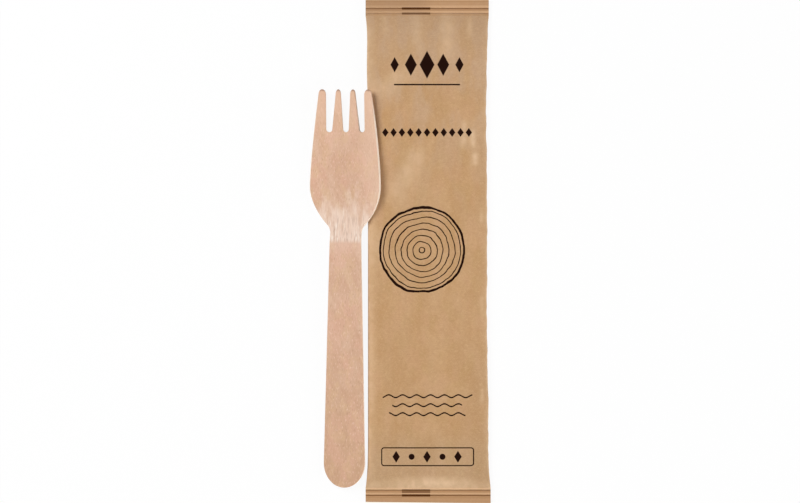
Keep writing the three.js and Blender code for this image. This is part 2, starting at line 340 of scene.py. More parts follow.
# Painted highlight on the lips, painted shade on the strips, brown lines with painted shade in their grooves
LIP_HIGHLIGHT_TINT = (0.45, (222, 182, 142))
STRIP_SHADE_TINT = (0.4, (168, 126, 86))
LINE_TINT_AND_SHADE = (0.75, (112, 74, 40))
BAR_TINT = (0.88, (84, 42, 6))
FIN_TINT = (0.3, (182, 138, 97))
FIN_SHADE_TINT = (0.6, (140, 102, 66))

# Where tints of the kraft paper begin and where they are full, along the pack or across it, and their limits
SHEEN_PATCH_REACH = (0, 80)
SHEEN_PATCH_LEAST = 0.15
UPPER_END_REACH = (50, 95)
LOWER_END_REACH = (-68, -84)
# Reach of the painted shade at both ends of the right side
RIGHT_ENDS_SHADE_ACROSS = (10, 22)
RIGHT_ENDS_SHADE_MIDDLE = 20
RIGHT_ENDS_SHADE_FROM_MIDDLE = (52, 72)
WEAR_AND_HIGHLIGHT_LEAST, WEAR_AND_HIGHLIGHT_MOST = 0.55, 1.5
SEAL_BLUR = 0.5
UPPER_LEFT_ACROSS = (4, -4)
FIN_SHADE = 3 * FIN_STEP
FRONT_SIDE = (0.8, 0.9)

# Surfaces of the materials, and the depth of their relief where its share is 1
BIRCH_FINISH = {"roughness": 0.6, "specular": 0.14, "relief_share": 0.3}
KRAFT_FINISH = {"roughness": 0.7, "specular": 0.04, "relief_share": 0.2}
RELIEF_DEPTH = 0.05

# Studio, in metres and watts: lamps by place, size and power, then the floor and the light of the world
LAMPS = {
    "key_lamp": ((-0.64, 0.4, 0.9), 0.6, 9.3),
    "lower_lamp": ((0, -1.1, 0.6), 0.9, 6.2),
    "right_lamp": ((1.1, -0.2, 0.45), 0.7, 7.6),
}
WHITE = (1, 1, 1, 1)
FLOOR_COLOUR = (0.93, 0.93, 0.93, 1)
FLOOR_SIZE = 3
FLOOR_DROP = 0.05 * MM
FLOOR_GLOW = 0.92
WORLD_LIGHT = 0.18

# Camera: the photograph's size, its pixel over the middle of the pack, and the length that a pixel spans
PHOTO_WIDTH, PHOTO_HEIGHT = 800, 503
MIDDLE_PIXEL = (427, 251)
PIXEL = 0.402
CAMERA_LENS = 400
SENSOR_WIDTH = 36
CLIP_START = 0.01


def smooth(value, start, end):
    """0 before start, 1 after end, and a soft step between them."""
    share = min(1, max(0, (value - start) / (end - start)))
    return share * share * (3 - 2 * share)


def lerp(start, end, share):
    """The value that lies a share of the way from start to end."""
    return start + (end - start) * share


def deselect():
    """Leaves edit mode, with nothing selected."""
    if bpy.context.object and bpy.context.object.mode != "OBJECT":
        bpy.ops.object.mode_set(mode="OBJECT")
    bpy.ops.object.select_all(action="DESELECT")


def keep_flat_place(piece, places):
    """Stores where each vertex lies on the flat material, so that grain and print follow its surface."""
    attribute = piece.data.attributes.new("flat_place", "FLOAT_VECTOR", "POINT")
    attribute.data.foreach_set("vector", [part for place in places for part in place])


def keep_rub_and_highlight(piece, shares):
    """Stores how much each vertex sticks out on a crease or an edge, where paper is rubbed pale and painted
    with a highlight.
    """
    attribute = piece.data.attributes.new("rub_and_highlight", "FLOAT", "POINT")
    attribute.data.foreach_set("value", shares)


def finish_piece(piece, node, material):
    """Turns a piece that was modelled in millimetres into metres and puts it in the place of its CAD node."""
    deselect()
    piece.select_set(True)
    bpy.ops.object.shade_smooth_by_angle(angle=SMOOTH_ANGLE)
    piece.data.transform(Matrix.Scale(MM, 4))
    piece.data.materials.clear()
    piece.data.materials.append(material)
    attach(piece, "root")
    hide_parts(node)


def flipped(place):
    """A place of the outline, mirrored at its middle line."""
    return Vector((-place.x, place.y, 0))


class Pen:
    """Draws half an outline as Bezier points, each with its place and the handles before and after it."""

    # How far the handles of a quarter circle reach towards its corner
    CIRCLE = 0.5523

    def __init__(self, x, y):
        self.points = [[Vector((x, y, 0))] * 3]

    def curve(self, handle_a, handle_b, place):
        """A curve with a handle of its own at each end."""
        place = Vector((*place, 0))
        self.points[-1][2] = Vector((*handle_a[:2], 0))
        self.points.append([place, Vector((*handle_b[:2], 0)), place])

    def bend(self, handles, place):
        """A curve whose two handles lie at shares of its way across and along."""
        start = self.points[-1][0]
        self.curve(*([lerp(*way) for way in zip(start, place, shares)] for shares in handles), place)

    def towards(self, corner, place, share):
        """A curve whose two handles point at one corner."""
        start, corner = self.points[-1][0], Vector((*corner, 0))
        self.curve(start.lerp(corner, share), Vector((*place, 0)).lerp(corner, share), place)

    def quarter(self, corner, place):
        """A quarter of an ellipse that turns at a corner."""
        self.towards(corner, place, self.CIRCLE)

    def line(self, place):
        self.bend(((1 / 3, 1 / 3), (2 / 3, 2 / 3)), place)

    def both_halves(self):
        """The whole outline, mirrored at the middle line that its first and last points lie on."""
        first, *between, last = self.points
        first = [first[0], flipped(first[2]), first[2]]
        last = [last[0], last[1], flipped(last[1])]
        mirrored = [[flipped(part) for part in (place, after, before)] for place, before, after in between]
        return [first, *between, last, *reversed(mirrored)]


def half_fork_outline():
    """Right half of the outline, from the end of the handle to the root of the middle slot."""
    end, neck, shoulder = HANDLE_END_WIDTH / 2, NECK_WIDTH / 2, SHOULDER_WIDTH / 2
    flare, flare_at = neck + NECK_FLARE, NECK_AT + NECK_FILLET
    root = SLOT_ROOT_WIDTH / 2
    root_at = TINES_AT + root
    foot = TIP_WIDTH / 2

    pen = Pen(0, 0)
    pen.quarter((end, 0), (end, HANDLE_END_ROUND))
    pen.line((neck, NECK_AT))
    pen.towards((neck, lerp(NECK_AT, flare_at, NECK_CORNER)), (flare, flare_at), NECK_REACH)
    pen.bend(SHOULDER_HANDLES, (shoulder, BOWL_AT))
    pen.bend(PALM_HANDLES, (foot, TIP_AT))
    for slot in (1, 0):
        mouth = slot * SLOT_MOUTH_PITCH + SLOT_MOUTH_WIDTH / 2
        middle = slot * SLOT_ROOT_PITCH
        pen.quarter((foot, FORK_LENGTH), ((foot + mouth) / 2, FORK_LENGTH))
        pen.quarter((mouth, FORK_LENGTH), (mouth, TIP_AT))
        pen.line((middle + root, root_at))
        pen.quarter((middle + root, TINES_AT), (middle, TINES_AT))
        if slot:
            foot = mouth - SLOT_MOUTH_WIDTH
            pen.quarter((middle - root, TINES_AT), (middle - root, root_at))
            pen.line((foot, TIP_AT))
    return pen


def fork_curve():
    """The fork's outline as a filled curve, with the thickness and the rounded edges of the veneer."""
    deselect()
    bpy.ops.curve.primitive_bezier_curve_add(location=(0, 0, 0))
    fork = bpy.context.object
    fork.name = "birch_fork"
    curve = fork.data
    curve.dimensions = "2D"
    curve.fill_mode = "BOTH"
    curve.resolution_u = OUTLINE_STEPS
    curve.extrude = VENEER / 2 - EDGE_ROUND
    curve.bevel_depth = EDGE_ROUND
    curve.bevel_resolution = EDGE_STEPS
    curve.offset = -EDGE_ROUND
    outline = half_fork_outline().both_halves()
    spline = curve.splines[0]
    spline.use_cyclic_u = True
    spline.bezier_points.add(len(outline) - len(spline.bezier_points))
    for point, (place, before, after) in zip(spline.bezier_points, outline):
        point.handle_left_type = point.handle_right_type = "FREE"
        point.co, point.handle_left, point.handle_right = place, before, after
    return fork


def slice_across(places, axis):
    """Cuts the blank at each of several places along an axis."""
    normal = Vector((axis == "X", axis == "Y", 0))
    for place in places:
        bpy.ops.mesh.select_all(action="SELECT")
        bpy.ops.mesh.bisect(plane_co=normal * place, plane_no=normal)


def fork_blank():
    """The flat fork, sliced finely enough to be pressed."""
    blank = fork_curve()
    bpy.ops.object.convert(target="MESH")
    bpy.ops.object.mode_set(mode="EDIT")
    bpy.ops.mesh.select_all(action="SELECT")
    bpy.ops.mesh.remove_doubles(threshold=MERGE_DISTANCE)
    bpy.ops.mesh.dissolve_limited(angle_limit=FLAT_ANGLE)
    handle_rows = [HANDLE_ROW * k for k in range(1, math.ceil(CREASE_AT / HANDLE_ROW))]
    head_rows = [CREASE_AT + HEAD_ROW * k for k in range(math.ceil((FORK_LENGTH - CREASE_AT) / HEAD_ROW))]
    half_columns = math.ceil(SHOULDER_WIDTH / 2 / FORK_COLUMN)
    slice_across(handle_rows + head_rows, "Y")
    slice_across([FORK_COLUMN * k for k in range(-half_columns, half_columns + 1)], "X")
    bpy.ops.mesh.select_all(action="SELECT")
    bpy.ops.mesh.normals_make_consistent(inside=False)
    bpy.ops.object.mode_set(mode="OBJECT")
    return blank


def press_height(x, y):
    """Height of the pressed veneer's middle above the flat handle."""
    if y <= CREASE_AT:
        return 0
    if y < BOWL_AT:
        along = -BOWL_DEPTH * (1 - ((BOWL_AT - y) / (BOWL_AT - CREASE_AT)) ** 2)
    else:
        along = -BOWL_DEPTH + TIP_RISE * ((y - BOWL_AT) / (FORK_LENGTH - BOWL_AT)) ** 2
    return along + DISH_RISE * (2 * x / SHOULDER_WIDTH) ** 2 * smooth(y, CREASE_AT, BOWL_AT)


def pressed(place):
    """Where a point of the flat blank lies after pressing, with its edges square to the veneer and the tines
    thinned from below towards their tips."""
    x, y, z = place
    if z < 0:
        z *= lerp(1, TIP_UNDERSIDE, smooth(y, TINES_AT, FORK_LENGTH))
    slope_x = (press_height(x + SLOPE_STEP, y) - press_height(x - SLOPE_STEP, y)) / (2 * SLOPE_STEP)
    slope_y = (press_height(x, y + SLOPE_STEP) - press_height(x, y - SLOPE_STEP)) / (2 * SLOPE_STEP)
    return Vector((x, y, press_height(x, y))) + z * Vector((-slope_x, -slope_y, 1)).normalized()


def fork_turn():
    """The fork's turn: roll and pitch from the flat top of the CAD fork's handle, and its own yaw."""
    top = max(
        (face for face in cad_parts["fork"].data.polygons if face.normal.z > 0.5),
        key=lambda face: face.area,
    )
    roll = Matrix.Rotation(math.asin(top.normal.x), 3, "Y")
    pitch = Matrix.Rotation(math.atan2(-top.normal.y, top.normal.z), 3, "X")
    return Matrix.Rotation(FORK_YAW, 3, "Z") @ pitch @ roll


def make_fork(material):
    """Presses the flat blank, with its handle a little aside, and lays it where the CAD fork lies."""
    fork = fork_blank()
    vertices = fork.data.vertices
    flat = [vertex.co.copy() for vertex in vertices]
    keep_flat_place(fork, flat)
    turn = fork_turn()
    placed = [turn @ pressed(place) for place in flat]
    low, high = (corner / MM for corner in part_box("fork"))
    spans = [(min(parts), max(parts)) for parts in zip(*placed)]
    shift = Vector([(low[k] + high[k] - sum(spans[k])) / 2 for k in range(3)])
    shift.x += FORK_ASIDE
    shift.y -= FORK_DROP
    shift.z = low.z - spans[2][0]
    for vertex, place, start in zip(vertices, placed, flat):
        aside = HANDLE_ASIDE * smooth(start.y, BOWL_AT, CREASE_AT)
        vertex.co = place + shift + Vector((aside, 0, 0))
    finish_piece(fork, "fork", material)


def crimp_inset(y):
    """How far the outer crimp line of the nearer seal lies inside its cut."""
    return CRIMP_INSET_UPPER if y > 0 else CRIMP_INSET_LOWER


def crimp_line(end, number):
    """Place along the pack of a crimp line, counted inwards from the upper end, 1, or the lower one, -1."""
    return end * (PACK_LENGTH / 2 - crimp_inset(end) - number * CRIMP_PITCH)


def past_seal(y):
    """How far a place along the pack lies inside the inner edge of the nearer seal."""
    return PACK_LENGTH / 2 - abs(y) - crimp_inset(y) - CRIMP_PITCH - SEAL_MARGIN


def ramp_share(y, length, power):
    """Share of its way from the seal to the body that a panel has gone at a place along the pack."""
    return 1 - (1 - min(1, max(0, past_seal(y) / length))) ** power


def pack_fill(y):
    """0 at the seals, 1 where the pack is as wide and high as its body."""
    return ramp_share(y, RAMP_LENGTH, RAMP_POWER)


def pack_half_width(y):
    return lerp(SEAL_WIDTH, BODY_WIDTH, pack_fill(y)) / 2


def sideways(x, middle, side):
    """A value that goes from one in the middle of the pack to another at its folds."""
    return lerp(middle, side, (2 * x / BODY_WIDTH) ** 2)


def rounded_in(x, y):
    """0 at a fold of the pack and 1 on its flat panels, rounded between them."""
    from_fold = min(1, max(0, (pack_half_width(y) - abs(x)) / FOLD_REACH))
    return math.sqrt(1 - (1 - from_fold) ** 2)


def fold_height(y):
    return lerp(SEAL_HEIGHT, FIN_THICKNESS + BODY_HEIGHT / 2, pack_fill(y))


def fin_share(x):
    """1 on the fin, 0 beside it, with a step at each of its edges."""
    return smooth(x, FIN_LEFT - FIN_STEP, FIN_LEFT) - smooth(x, FIN_RIGHT, FIN_RIGHT + FIN_STEP)


def fin_ribs(x):
    """Shallow grooves that the sealing wheels press along the fin."""
    share = (x - FIN_LEFT) / (FIN_RIGHT - FIN_LEFT)
    return FIN_RIB_DEPTH * math.sin(math.pi * FIN_RIBS * share) ** 2 if 0 < share < 1 else 0


def crimp(x, y):
    """Depth of the two crimp lines of a seal, which are deeper over the fin."""
    offsets = [abs(y - crimp_line(math.copysign(1, y), number)) for number in (0, 1)]
    share = sum(max(0, 1 - offset / (CRIMP_WIDTH / 2)) for offset in offsets)
    return share * lerp(CRIMP_DEPTH, CRIMP_DEPTH_ON_FIN, fin_share(x))


def puff(x, y):
    """Bulge of the front panel just above the lower seal, wider in the middle than at the sides."""
    if y > 0:
        return 0
    share = max(0, past_seal(y)) / sideways(x, PUFF_REACH_MIDDLE, PUFF_REACH_SIDE)
    return PUFF_RISE * share * math.exp(1 - share)


def crease_height(x, y, crease):
    """Height of one crease, with soft sides and firmer ends."""
    middle_x, middle_y, direction, length, width, height = crease
    cosine, sine = math.cos(math.radians(direction)), math.sin(math.radians(direction))
    along = ((x - middle_x) * cosine + (y - middle_y) * sine) / (length / 2)
    across = ((y - middle_y) * cosine - (x - middle_x) * sine) / width
    return height * math.exp(-(across**2) - along**4)


def creases(x, y):
    return sum(crease_height(x, y, crease) for crease in CREASES)


def waved(x, y, wave):
    """Height of a soft wave at a place, up to its own height above or below 0."""
    width, length, height, seed = wave
    return height * noise.noise(Vector((x / width, y / length, seed)))


def wrinkles(x, y):
    """Soft waves and creases of the front panel, calmer under the fork, which dents it at its shoulder."""
    fill = pack_fill(y)
    leaning = waved(x + PANEL_WAVE_LEAN * y, y - PANEL_WAVE_LEAN * x, PANEL_WAVE)
    calm = lerp(CALM_UNDER_FORK, 1, smooth(x, CALM_FROM, CALM_TO))
    soft = calm * (leaning + waved(x, y, PANEL_RIPPLE) + creases(x, y))
    gathers = (1 - fill) * waved(x, y, SEAL_GATHER) * (1 if y > 0 else LOWER_GATHER_SHARE)
    return fill * (soft + crease_height(x, y, SHOULDER_DENT) + gathers)


def pack_front(x, y):
    """Height of the front panel, which its content lifts in the upper half."""
    from_content = (y - (PACK_LENGTH / 2 - CONTENT_INSET)) / CONTENT_REACH
    crown = CROWN + CONTENT_RISE * math.exp(-from_content**2)
    body = FIN_THICKNESS + BODY_HEIGHT + crown * (1 - (x / pack_half_width(y)) ** 2)
    flat = lerp(SEAL_HEIGHT + SEAL_THICKNESS / 2, body, pack_fill(y)) + wrinkles(x, y) + puff(x, y)
    return lerp(fold_height(y) + PAPER, flat, rounded_in(x, y)) - crimp(x, y)


def pack_back(x, y):
    """Height of the back panel, which sags onto the surface beside the fin, or of the fin under it."""
    beside_fin = max(FIN_LEFT - x, x - FIN_RIGHT, 0)
    body = FIN_THICKNESS * (1 - smooth(beside_fin, 0, SAG_REACH))
    flat = lerp(SEAL_HEIGHT - SEAL_THICKNESS / 2, body, ramp_share(y, BACK_RAMP_LENGTH, BACK_RAMP_POWER))
    panel = lerp(fold_height(y) - PAPER, flat, rounded_in(x, y)) - crimp(x, y)
    return panel - FIN_THICKNESS * fin_share(x) + fin_ribs(x)


def fold_drift(y, fold):
    """How far a fold lies outside its neat line."""
    slack, bulge, bulge_y = fold
    return slack + bulge * math.exp(-(((y - bulge_y) / BULGE_REACH) ** 2))


def loosened(x, y, across):
    """Moves a place on the neat pack to where its slack folds or one of its cut ends put it."""
    fill = pack_fill(y)
    right = fold_drift(y, RIGHT_FOLD) * (fill if y > 0 else 1)
    right += LOWER_SPREAD * smooth(y, LOWER_SPREAD_FROM, LOWER_SPREAD_TO)
    moved = right * smooth(across, GIVE_FROM, 1) - fold_drift(y, LEFT_FOLD) * smooth(-across, GIVE_FROM, 1)
    moved += (waved(0, y, EDGE_WAVE) + waved(0, y, EDGE_FLUTTER)) * fill * smooth(across, FLUTTER_FROM, 1)
    to_cut = smooth(PACK_LENGTH / 2 - abs(y), crimp_inset(y), 0)
    end = END_RISE if y > 0 else -END_DROP - END_SLANT * across
    return x + moved, y + end * to_cut


def fold_rub_and_highlight(across, y):
    """How pale the paper is along its folds: rubbed, and painted with a highlight."""
    rubs = LEFT_RUB_AND_HIGHLIGHT if across < 0 else RIGHT_RUB_AND_HIGHLIGHT
    return sum(strength * smooth(abs(across), start, 1) for start, strength in rubs) * pack_fill(y)


def front_rub_and_highlight(x, y):
    """How pale the front panel is on its creases, rubbed and with painted highlights, and the painted
    highlight where it bends down to the lower seal.
    """
    rub_and_highlight = max(0, creases(x, y)) / FULLY_RUBBED_AND_HIGHLIGHTED_CREASE
    if y < 0:
        inside = past_seal(y)
        share = max(0, inside) / sideways(x, BEND_HIGHLIGHT_REACH_MIDDLE, BEND_HIGHLIGHT_REACH_SIDE)
        # Painted highlight where the panel bends down to the lower seal
        rub_and_highlight += BEND_HIGHLIGHT * smooth(inside, *BEND_HIGHLIGHT_START) * max(0, 1 - share)
    return rub_and_highlight


def pack_columns():
    """Places across the pack's body: close together at the folds and at both edges of the fin."""
    shares = [2 * k / PACK_COLUMNS - 1 for k in range(PACK_COLUMNS + 1)]
    crowded = [lerp(share, math.sin(math.pi / 2 * share), COLUMN_CROWDING) for share in shares]
    columns = [BODY_WIDTH / 2 * share for share in crowded]
    edges = [FIN_LEFT - FIN_STEP, FIN_LEFT, FIN_RIGHT, FIN_RIGHT + FIN_STEP]
    clear = [x for x in columns if min(abs(x - edge) for edge in edges) > 2 * FIN_STEP]
    return sorted(clear + edges)


def pack_rows():
    """Places along the pack: close together in the seals, wider apart along the body."""
    half = PACK_LENGTH / 2
    stops = [-half, FINE_END - half, FINE_END + RAMP_LENGTH - half]
    stops += [-stop for stop in reversed(stops)]
    steps = (SEAL_ROW, RAMP_ROW, BODY_ROW, RAMP_ROW, SEAL_ROW)
    rows = []
    for start, end, step in zip(stops, stops[1:], steps):
        count = round((end - start) / step)
        rows += [lerp(start, end, k / count) for k in range(count)]
    return rows + [half]


def pack_slab(columns, rows):
    """A square slab of so many columns and rows, with its front on top and its back below."""
    deselect()
    bpy.ops.mesh.primitive_grid_add(x_subdivisions=columns, y_subdivisions=rows, size=2, location=(0, 0, 0))
    slab = bpy.context.object
    slab.name = "kraft_pack"
    bpy.ops.object.mode_set(mode="EDIT")
    bpy.ops.mesh.select_all(action="SELECT")
    bpy.ops.mesh.extrude_region_move(TRANSFORM_OT_translate={"value": (0, 0, -1)})
    bpy.ops.mesh.select_all(action="SELECT")
    bpy.ops.mesh.normals_make_consistent(inside=False)
    bpy.ops.object.mode_set(mode="OBJECT")
    return slab


def make_pack(material):
    """Moves each vertex of a slab to its place on the pack."""
    rows, columns = pack_rows(), pack_columns()
    pack = pack_slab(len(columns) - 1, len(rows) - 1)
    flat, rub_and_highlight = [], []
    for vertex in pack.data.vertices:
        x = columns[round((vertex.co.x + 1) / 2 * (len(columns) - 1))]
        y = rows[round((vertex.co.y + 1) / 2 * (len(rows) - 1))]
        front = vertex.co.z > -0.5
        across = 2 * x / BODY_WIDTH
        x += (pack_half_width(y) - BODY_WIDTH / 2) * math.copysign(smooth(abs(across), GIVE_FROM, 1), x)
        vertex.co = (*loosened(x, y, across), pack_front(x, y) if front else pack_back(x, y))
        flat.append((x, y, 1 if front else -1))
        rub_and_highlight.append(fold_rub_and_highlight(across, y) + (front_rub_and_highlight(x, y) if front else 0))
    keep_flat_place(pack, flat)
    keep_rub_and_highlight(pack, rub_and_highlight)
    finish_piece(pack, "paper_pack", material)


def linear(level):
    """A level on screen, from 0 to 255, as an amount of light from 0 to 1."""
    share = level / 255
    return share / 12.92 if share <= 0.04045 else ((share + 0.055) / 1.055) ** 2.4


def srgb(red, green, blue):
    """A colour as it is seen on screen, as a shader colour."""
    return (linear(red), linear(green), linear(blue), 1)


class Paint:
    """Adds shader nodes to one tree and returns their outputs; a material's colour is built up in layers."""

    def __init__(self, tree):
        self.tree = tree
        self.colour = None

    def node(self, kind, inputs=None, output=0, **settings):
        """One output of a new node, whose inputs are plain values or outputs of other nodes."""
        node = self.tree.nodes.new("ShaderNode" + kind)
        for name, value in settings.items():
            setattr(node, name, value)
        for socket, value in (inputs or {}).items():
            if isinstance(value, bpy.types.NodeSocket):
                self.tree.links.new(value, node.inputs[socket])
            else:
                node.inputs[socket].default_value = value
        return node.outputs[output]

    def math(self, operation, a, b=0.0):
        return self.node("Math", {0: a, 1: b}, operation=operation)

    def plus(self, a, b):
        return self.math("ADD", a, b)

    def minus(self, a, b):
        return self.math("SUBTRACT", a, b)

    def times(self, a, b):
        return self.math("MULTIPLY", a, b)

    def distance(self, a, b):
        return self.math("ABSOLUTE", self.minus(a, b))

    def either(self, masks):
        """One mask that is on where any of several is."""
        whole = masks[0]
        for mask in masks[1:]:
            whole = self.math("MAXIMUM", whole, mask)
        return whole

    def ramp(self, value, start, end, low=0.0, high=1.0):
        """low before start, high after end, and a soft step between them."""
        limits = {"From Min": start, "From Max": end, "To Min": low, "To Max": high}
        return self.node("MapRange", {"Value": value, **limits}, interpolation_type="SMOOTHSTEP")

    def below(self, value, limit):
        """1 where a value is under a limit, with an edge as soft as printed ink."""
        return self.ramp(self.minus(value, limit), -INK_BLUR, INK_BLUR, 1.0, 0.0)

    def between(self, value, low, high):
        """1 where a value is between two limits."""
        return self.below(self.distance(value, (low + high) / 2), (high - low) / 2)

    def vector(self, operation, a, b=(0, 0, 0), output=0):
        return self.node("VectorMath", {0: a, 1: b}, output, operation=operation)

    def length(self, vector):
        return self.vector("LENGTH", vector, output=1)

    def split(self, vector):
        """The three parts of a vector."""
        return self.node("SeparateXYZ", {0: vector}).node.outputs[:3]

    def place(self):
        """Where a point lies on the flat material, in millimetres."""
        return self.node("Attribute", output=1, attribute_name="flat_place")

    def group(self, group, inputs, output=0):
        return self.node("Group", inputs, output, node_tree=group)

    def mix(self, factor, a, b):
        return self.node("Mix", {0: factor, 6: a, 7: b}, output=2, data_type="RGBA")

    def base(self, mask, tones):
        """Starts the colour from two tones that a mask mixes."""
        self.colour = self.mix(mask, *(srgb(*tone) for tone in tones))

    def layer(self, mask, strength, tint):
        """Lays a tint over the colour where a mask is."""
        self.colour = self.mix(self.times(mask, strength), self.colour, srgb(*tint))

    def fibres(self, group, width, length, turn, seed, start, end):
        """A mask of fibres that lie on the flat material, turned by an angle."""
        place = self.node("VectorRotate", {"Vector": self.place(), "Angle": turn}, rotation_type="Z_AXIS")
        sizes = {"Width": width, "Length": length, "Seed": seed}
        return self.ramp(self.group(group, {"Place": place, **sizes}), start, end)

    def fibre_layers(self, group, rows, within=1.0):
        """Lays fibres over the colour, all over it or within a mask."""
        for *fibres, strength, tint in rows:
            self.layer(self.times(self.fibres(group, *fibres), within), strength, tint)

    def matte(self, surface, relief, roughness, specular, relief_share):
        """Gives a matte surface the colour and a fine relief."""
        surface.inputs["Roughness"].default_value = roughness
        surface.inputs["Specular IOR Level"].default_value = specular
        depth = {"Strength": relief_share, "Distance": RELIEF_DEPTH * MM}
        bump = self.node("Bump", {"Height": relief, **depth})
        self.tree.links.new(self.colour, surface.inputs["Base Color"])
        self.tree.links.new(bump, surface.inputs["Normal"])


def new_group(name, inputs, outputs):
    """A shader node group with named float or vector sockets: its paint, its inputs and its end."""
    tree = bpy.data.node_groups.new(name, "ShaderNodeTree")
    for label, kind in inputs.items():
        tree.interface.new_socket(label, in_out="INPUT", socket_type="NodeSocket" + kind)
    for label in outputs:
        tree.interface.new_socket(label, in_out="OUTPUT", socket_type="NodeSocketFloat")
    return Paint(tree), tree.nodes.new("NodeGroupInput").outputs, tree.nodes.new("NodeGroupOutput").inputs


def fibre_group():
    """Streaks of a given width and length that run along the flat material."""
    sockets = {"Place": "Vector", "Width": "Float", "Length": "Float", "Seed": "Float"}
    paint, given, end = new_group("Fibres", sockets, ["Streaks"])
    grain = paint.node("CombineXYZ", {0: given["Width"], 1: given["Length"], 2: 1.0})
    scaled = paint.vector("DIVIDE", given["Place"], grain)
    moved = paint.vector("ADD", scaled, paint.node("CombineXYZ", {2: given["Seed"]}))
    noise_shape = {"Scale": 1.0, "Detail": 3.0, "Roughness": 0.55}
    paint.tree.links.new(paint.node("TexNoise", {"Vector": moved, **noise_shape}), end["Streaks"])
    return paint.tree


def box_group():
    """Ink of a rounded box: filled, and as an outline. Straight is half its size without its corners."""
    places = {"Place": "Vector", "Middle": "Vector", "Straight": "Vector"}
    sizes = {"Corner": "Float", "Line": "Float"}
    paint, given, end = new_group("Printed Box", {**places, **sizes}, ["Filled", "Outline"])
    offset = paint.vector("ABSOLUTE", paint.vector("SUBTRACT", given["Place"], given["Middle"]))
    beyond = paint.vector("MAXIMUM", paint.vector("SUBTRACT", offset, given["Straight"]))
    distance = paint.length(beyond)
    filled = paint.below(distance, given["Corner"])
    inner = paint.below(distance, paint.minus(given["Corner"], given["Line"]))
    paint.tree.links.new(filled, end["Filled"])
    paint.tree.links.new(paint.minus(filled, inner), end["Outline"])
    return paint.tree


def lozenge_group():
    """Ink of a lozenge, given by its middle and half its size."""
    sockets = {"Place": "Vector", "Middle": "Vector", "Half Size": "Vector"}
    paint, given, end = new_group("Printed Lozenge", sockets, ["Filled"])
    offset = paint.vector("ABSOLUTE", paint.vector("SUBTRACT", given["Place"], given["Middle"]))
    shares = paint.vector("DIVIDE", offset, given["Half Size"])
    distance = paint.vector("DOT_PRODUCT", shares, (1, 1, 1), output=1)
    paint.tree.links.new(paint.below(distance, 1.0), end["Filled"])
    return paint.tree


def new_material(name):
    """A new material, the paint for its nodes, and its surface shader."""
    material = bpy.data.materials.new(name)
    material.use_nodes = True
    tree = material.node_tree
    return material, Paint(tree), tree.nodes["Principled BSDF"]


def paint_neck(paint, fibres, across, along):
    """The pale neck above the crease, partly pressed pale and partly a painted sheen, with fibres raised by
    pressing and a ragged upper end.
    """
    below = paint.times(paint.ramp(along, *BELOW_CREASE_REACH), paint.ramp(along, NECK_AT, CREASE_AT))
    paint.layer(below, *BELOW_CREASE_TINT)
    ragged = paint.times(paint.fibres(fibres, *NECK_RAGGED), NECK_END_RAGGED)
    slanted = paint.minus(ragged, paint.times(across, NECK_END_SLANT))
    fading = paint.ramp(paint.plus(along, slanted), *NECK_END)
    neck = paint.times(paint.ramp(along, *NECK_START), fading)
    # Pale neck: partly pressed wood, partly painted sheen
    paint.layer(neck, *NECK_TINT_AND_SHEEN)
    raised = paint.times(neck, paint.ramp(along, *NECK_LINES_END, NECK_LINES_LEAST))
    paint.fibre_layers(fibres, NECK_LINES, raised)


def birch_material(fibres):
    """Raw birch: pink and yellow mottling, fine pores, a darker end of the handle, a pale neck and rim with
    painted sheen and highlight on them, painted highlights on the tines and the right side of the head, and
    tines darker at their tips."""
    material, paint, surface = new_material("birch")
    across, along, depth = paint.split(paint.place())
    paint.base(paint.fibres(fibres, *BIRCH_MOTTLING), BIRCH_TONES)
    paint.layer(paint.ramp(along, HANDLE_MIDDLE, 0), *HANDLE_TINT)
    paint.fibre_layers(fibres, BIRCH_FIBRES)
    # Painted highlight: the tines lighter towards their tips
    paint.layer(paint.ramp(along, *TINES_HIGHLIGHT_REACH), *TINES_HIGHLIGHT_TINT)
    # Painted highlight on the right side of the head
    right_side_highlight = paint.times(paint.ramp(across, *RIGHT_SIDE_HIGHLIGHT_REACH), paint.ramp(along, NECK_AT, BOWL_AT))
    paint.layer(right_side_highlight, *RIGHT_SIDE_HIGHLIGHT_TINT)
    paint_neck(paint, fibres, across, along)
    # Pale rim: paler end grain with a painted highlight, fading towards the tips
    rim_and_highlight = paint.ramp(paint.math("ABSOLUTE", depth), *RIM_DEPTH)
    paint.layer(paint.times(rim_and_highlight, paint.ramp(along, *RIM_END, RIM_LEAST)), *RIM_TINT_AND_HIGHLIGHT)
    # Tines darker at their very tips
    paint.layer(paint.ramp(along, *TIP_END_REACH), *TIP_END_TINT)
    paint.matte(surface, paint.fibres(fibres, *BIRCH_FINE_GRAIN), **BIRCH_FINISH)
    return material


def seal_marks(paint, across, along):
    """Tones at each crimp line: a painted highlight on the lip above it, the line itself, browned by the hot
    jaws and with painted shade in its groove, painted shade on the strip below it, and a dark bar that the
    jaws leave where it crosses the fin. The upper cut has a lip with a painted highlight and a strip with
    painted shade too."""
    on_fin = paint.between(across, FIN_LEFT, FIN_RIGHT)
    lit_lips, lines, shaded_strips, bars = [], [], [], []
    for end, shares in ((1, UPPER_LINE_SHARES), (-1, LOWER_LINE_SHARES)):
        for number, share in enumerate(shares):
            offset = paint.minus(along, crimp_line(end, number))
            lit_lips.append(paint.between(offset, *LIP))
            shaded_strips.append(paint.between(offset, *STRIP))
            lines.append(paint.times(paint.between(offset, *LINE), share))
            bar = paint.between(offset, *(WIDE_BAR if end < 0 and number else BAR))
            bars.append(paint.times(paint.times(bar, on_fin), BAR_SHARES[number]))
    cut = PACK_LENGTH / 2
    lit_lips.append(paint.between(along, cut - CUT_LIP, cut + CUT_LIP))
    shaded_strips.append(paint.between(along, cut - CUT_STRIP, cut - CUT_LIP))
    return [paint.either(masks) for masks in (lit_lips, lines, shaded_strips, bars)]


